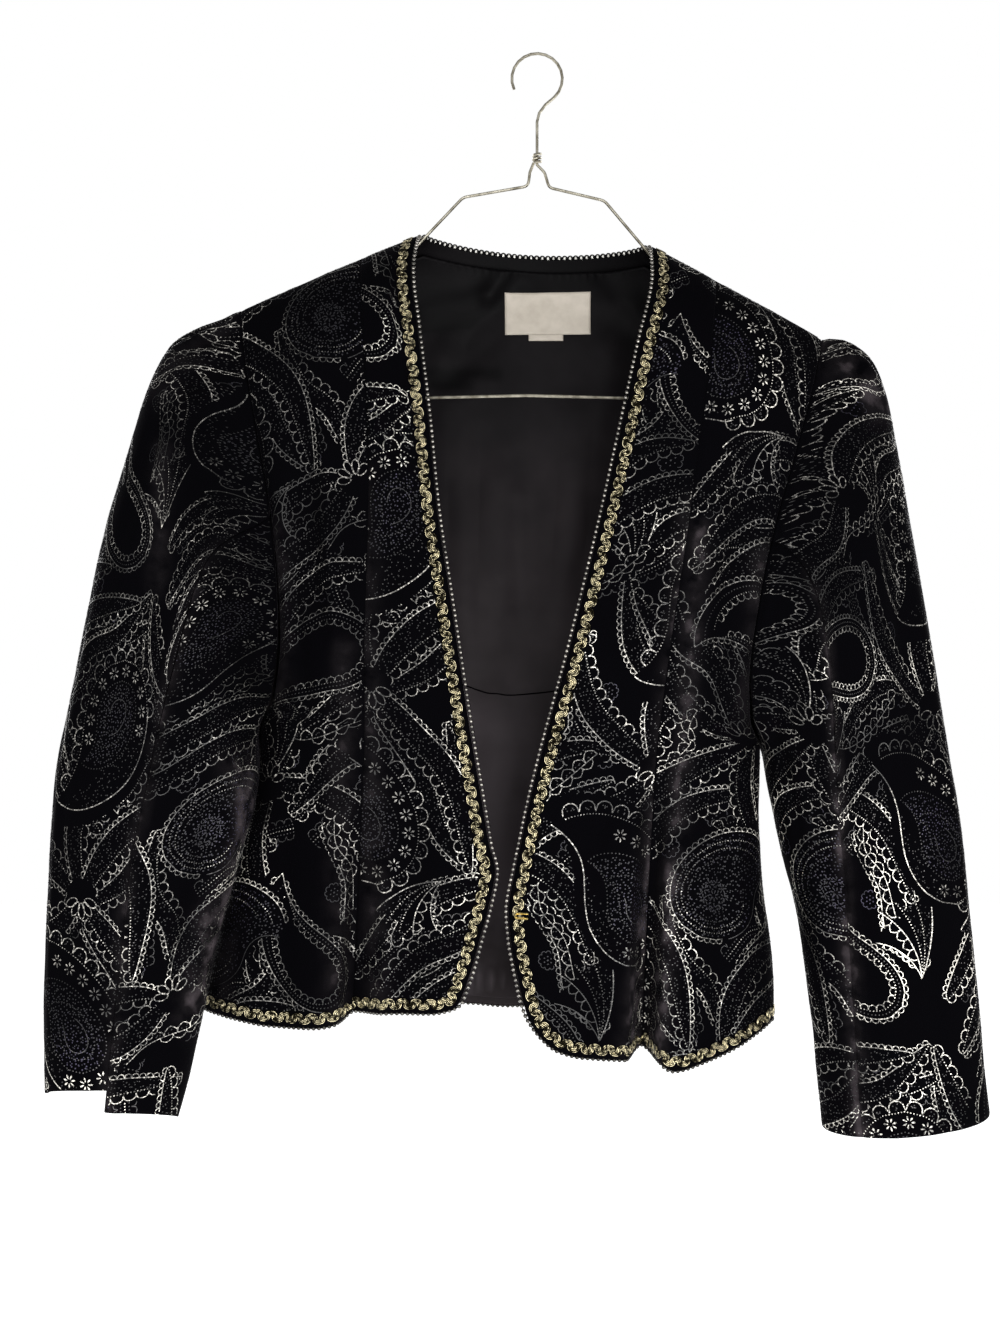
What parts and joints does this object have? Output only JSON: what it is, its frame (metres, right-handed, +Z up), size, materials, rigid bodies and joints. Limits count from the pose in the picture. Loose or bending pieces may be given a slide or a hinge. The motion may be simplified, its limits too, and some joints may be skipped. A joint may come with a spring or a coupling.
{
  "type": "velvet jacket on a wire hanger",
  "caption": "Waist-length velvet evening jacket with an open front, set-in sleeves, gold gimp braid and bead edging, hanging hollow on a plain wire hanger.",
  "frame": {"origin": "inside top of the hanger's hook, where it rests on a rail", "axes": "+X to the wearer's left, +Y to the back of the jacket, +Z up along the hook's shank"},
  "size_m": [0.6645, 0.1251, 0.7667],
  "materials": {
    "velvet": "deep pile, printed with a fine metallic paisley",
    "satin": "soft satin",
    "gimp": "twisted metallic cord",
    "bead": "pewter gloss",
    "label": "woven, blank",
    "brass_wire": "bright drawn wire"
  },
  "bodies": {
    "root": {"back": "velvet", "front_left": "velvet", "front_right": "velvet", "side_front_left": "velvet", "side_front_right": "velvet", "sleeve_upper_left": "velvet", "sleeve_upper_right": "velvet", "sleeve_under_left": "velvet", "sleeve_under_right": "velvet", "back_lining": "satin", "braid_neck": "gimp", "braid_back_hem": "gimp", "braid_front_left": "gimp", "braid_front_right": "gimp", "braid_side_left": "gimp", "braid_side_right": "gimp", "bead_neck": "bead", "bead_back_hem": "bead", "bead_front_left": "bead", "bead_front_right": "bead", "neck_label": "label", "size_tab": "label", "front_hook": "brass_wire", "hanger": "brass_wire"}
  },
  "joints": []
}
